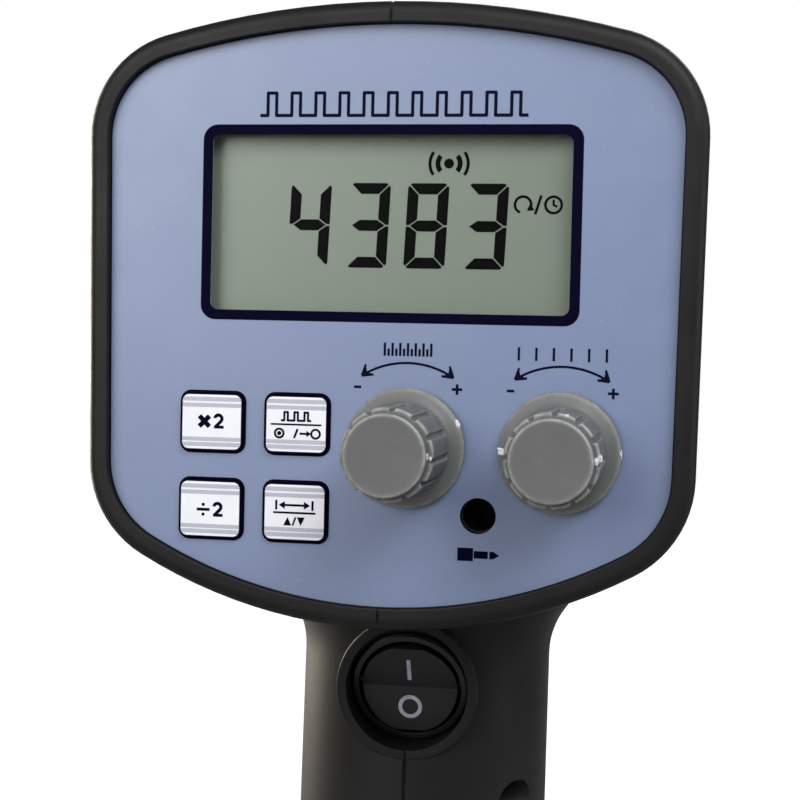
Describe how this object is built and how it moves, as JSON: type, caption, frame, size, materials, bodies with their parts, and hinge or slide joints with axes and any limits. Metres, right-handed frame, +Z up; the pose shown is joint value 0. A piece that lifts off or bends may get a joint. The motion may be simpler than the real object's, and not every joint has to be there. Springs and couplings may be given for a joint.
{
  "type": "xenon stroboscope",
  "caption": "Hand-held pistol stroboscope: rounded head with a blue control panel, display, keys and two knobs, a lamp with a ribbed ring, and a grip with a round rocker switch.",
  "frame": {"origin": "centre of the grip's flat foot, on the mouth of the cord bushing", "axes": "+Z up, +X to the user's right, +Y along the lamp's beam; the control panel faces -Y"},
  "size_m": [0.12, 0.1359, 0.2102],
  "materials": {
    "housing_plastic": "moulded, fine satin texture",
    "ring_plastic": "moulded, ribbed",
    "label_film": "printed blue-grey film, satin",
    "panel_plastic": "moulded",
    "window_plastic": "clear, polished",
    "display_face": "grey-green reflective display",
    "holder_plastic": "moulded",
    "strip_rubber": "layered elastomer",
    "board_laminate": "green solder mask",
    "key_plastic": "white gloss with grey bands",
    "small_black": "moulded",
    "knob_plastic": "grey moulded",
    "shaft_metal": "turned",
    "can_steel": "plated",
    "plated_metal": "nickel plated",
    "switch_plastic": "black semi-gloss",
    "rocker_plastic": "black semi-gloss with pale marks",
    "terminal_brass": "tin plated",
    "reflector_metal": "vacuum metallised, bright",
    "tube_glass": "clear quartz",
    "base_ceramic": "glazed white",
    "gasket_rubber": "soft",
    "lens_plastic": "clear, polished",
    "can_sleeve": "shrink sleeve",
    "core_steel": "laminated, lacquered",
    "winding_tape": "tape over copper",
    "bushing_rubber": "soft"
  },
  "bodies": {
    "stroboscope": {"housing_left": "housing_plastic", "housing_right": "housing_plastic", "housing_screws": "can_steel", "rear_panel": "panel_plastic", "panel_label": "label_film", "display_window": "window_plastic", "display_glass": "display_face", "display_holder": "holder_plastic", "contact_strips": "strip_rubber", "control_board": "board_laminate", "board_screws": "can_steel", "key_switches": "small_black", "fine_potentiometer": "can_steel", "coarse_potentiometer": "can_steel", "pot_nuts": "plated_metal", "pot_washers": "plated_metal", "sync_socket": "small_black", "socket_contacts": "plated_metal", "switch_housing": "switch_plastic", "switch_terminals": "terminal_brass", "reflector": "reflector_metal", "flash_tube": "tube_glass", "tube_base": "base_ceramic", "lens_gasket": "gasket_rubber", "front_lens": "lens_plastic", "front_ring": "ring_plastic", "power_board": "board_laminate", "storage_capacitors": "can_sleeve", "transformer_core": "core_steel", "transformer_bobbin": "winding_tape", "trigger_coil": "winding_tape", "fuse": "tube_glass", "fuse_clips": "terminal_brass", "cord_bushing": "bushing_rubber"},
    "fine_control": {"fine_knob": "knob_plastic", "fine_shaft": "shaft_metal"},
    "coarse_control": {"coarse_knob": "knob_plastic", "coarse_shaft": "shaft_metal"},
    "rocker": {"switch_rocker": "rocker_plastic"},
    "times_two_key": {"key_times_two": "key_plastic"},
    "trigger_key": {"key_trigger": "key_plastic"},
    "divide_two_key": {"key_divide_two": "key_plastic"},
    "range_key": {"key_range": "key_plastic"}
  },
  "joints": [
    {"name": "fine_turn", "type": "hinge", "parent": "stroboscope", "child": "fine_control", "pos_m": [0.0044, -0.056, 0.1251], "axis": [0, 1, 0], "range_deg": [-150, 150]},
    {"name": "coarse_turn", "type": "hinge", "parent": "stroboscope", "child": "coarse_control", "pos_m": [0.0339, -0.056, 0.1251], "axis": [0, 1, 0], "range_deg": [-150, 150]},
    {"name": "rocker_tilt", "type": "hinge", "parent": "stroboscope", "child": "rocker", "pos_m": [0, -0.01415, 0.07168], "axis": [1, 0, 0], "range_deg": [0, 18]},
    {"name": "times_two_press", "type": "slide", "parent": "stroboscope", "child": "times_two_key", "axis": [0, 1, 0], "range_m": [0, 0.0004], "stiffness_N_per_m": 900, "springref_m": -0.0004},
    {"name": "trigger_press", "type": "slide", "parent": "stroboscope", "child": "trigger_key", "axis": [0, 1, 0], "range_m": [0, 0.0004], "stiffness_N_per_m": 900, "springref_m": -0.0004},
    {"name": "divide_two_press", "type": "slide", "parent": "stroboscope", "child": "divide_two_key", "axis": [0, 1, 0], "range_m": [0, 0.0004], "stiffness_N_per_m": 900, "springref_m": -0.0004},
    {"name": "range_press", "type": "slide", "parent": "stroboscope", "child": "range_key", "axis": [0, 1, 0], "range_m": [0, 0.0004], "stiffness_N_per_m": 900, "springref_m": -0.0004}
  ]
}
